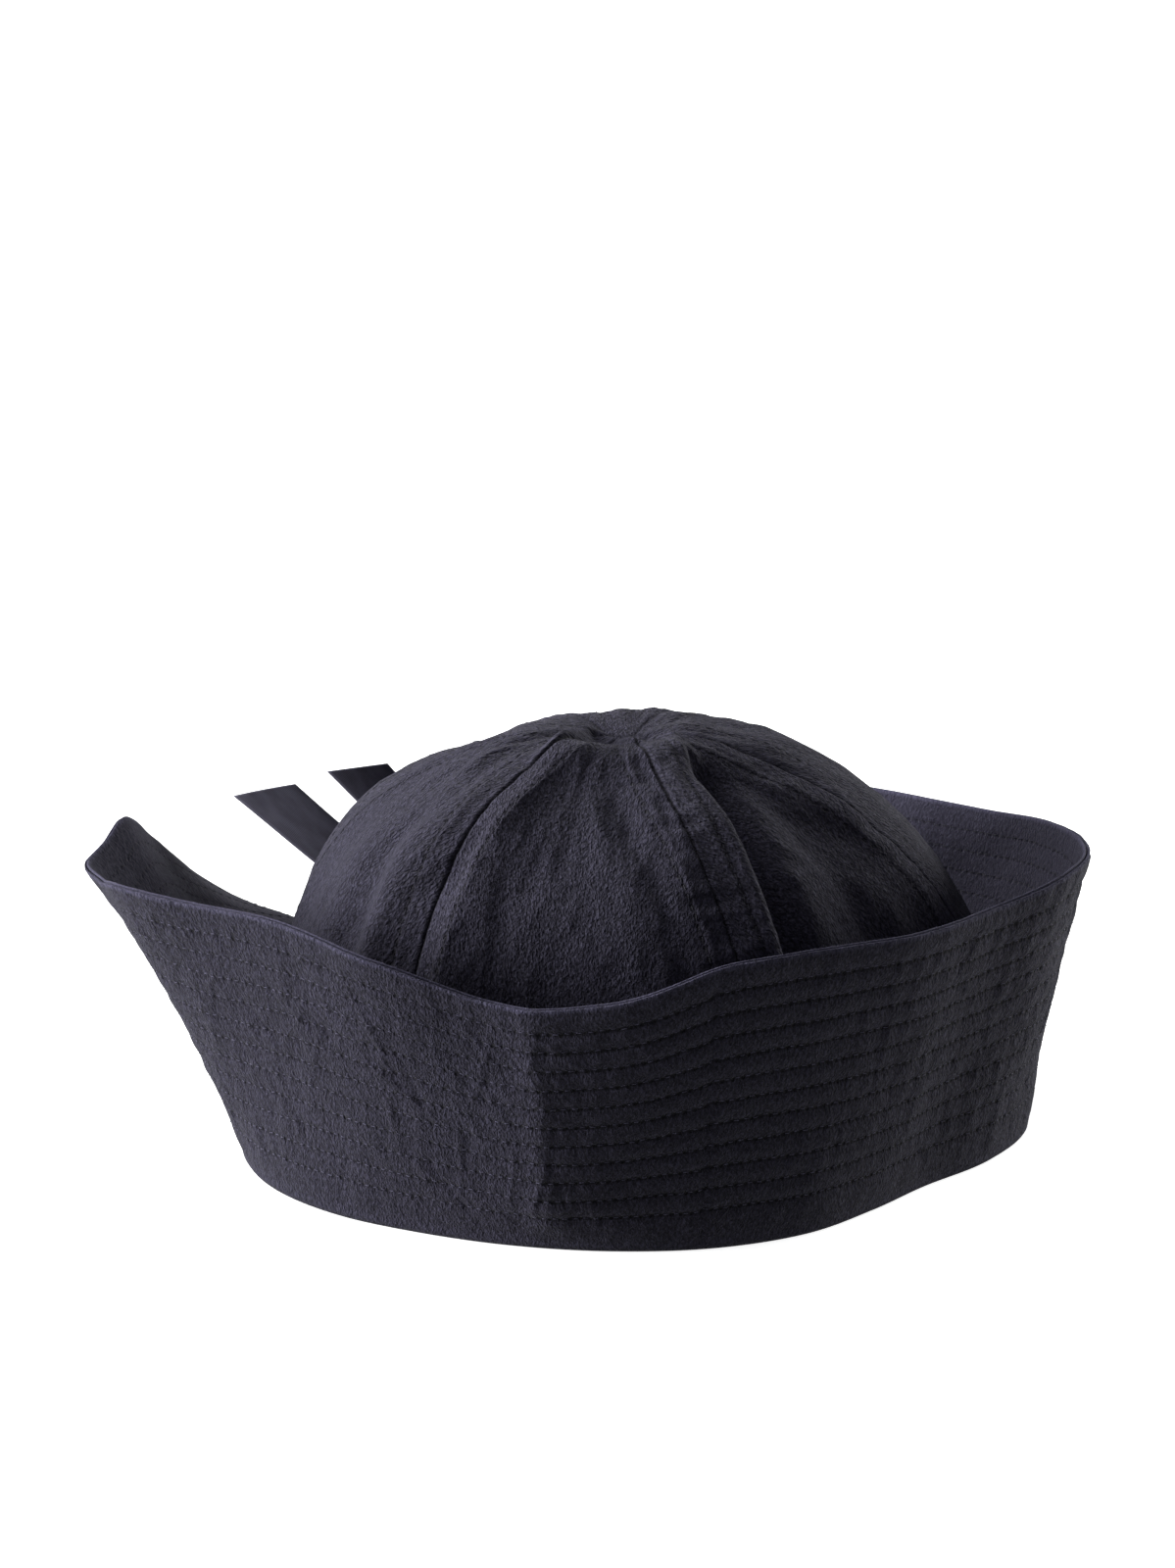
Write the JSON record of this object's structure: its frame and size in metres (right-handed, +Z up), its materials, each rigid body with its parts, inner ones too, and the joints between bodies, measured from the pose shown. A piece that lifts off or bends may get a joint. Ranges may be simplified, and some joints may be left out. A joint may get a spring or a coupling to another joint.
{
  "type": "sailor cap",
  "caption": "Soft cloth sailor cap with a gored crown, a turned-up stitched brim of two plies that flares into a wing on one side, and ribbon tails at the back.",
  "frame": {"origin": "on the surface the cap stands on, under the middle of its bounding box", "axes": "+Z up, +Y towards the back of the cap as it is seen, +X to the viewer's right; the brim's wing points to -X"},
  "size_m": [0.2484, 0.2378, 0.1036],
  "materials": {
    "crown_cloth": "washed dark navy cotton, crinkled plain weave, matt",
    "brim_cloth": "washed dark navy cotton, crinkled plain weave, rows of topstitching, matt",
    "facing_cloth": "washed dark navy cotton, crinkled plain weave, matt",
    "ribbon": "smooth dark navy ribbon, slight sheen"
  },
  "bodies": {
    "root": {"crown_panel_back_right": "crown_cloth", "crown_panel_back": "crown_cloth", "crown_panel_back_left": "crown_cloth", "crown_panel_front_left": "crown_cloth", "crown_panel_front": "crown_cloth", "crown_panel_front_right": "crown_cloth", "brim_outer": "brim_cloth", "brim_facing": "facing_cloth", "ribbon_tail_left": "ribbon", "ribbon_tail_right": "ribbon"}
  },
  "joints": []
}
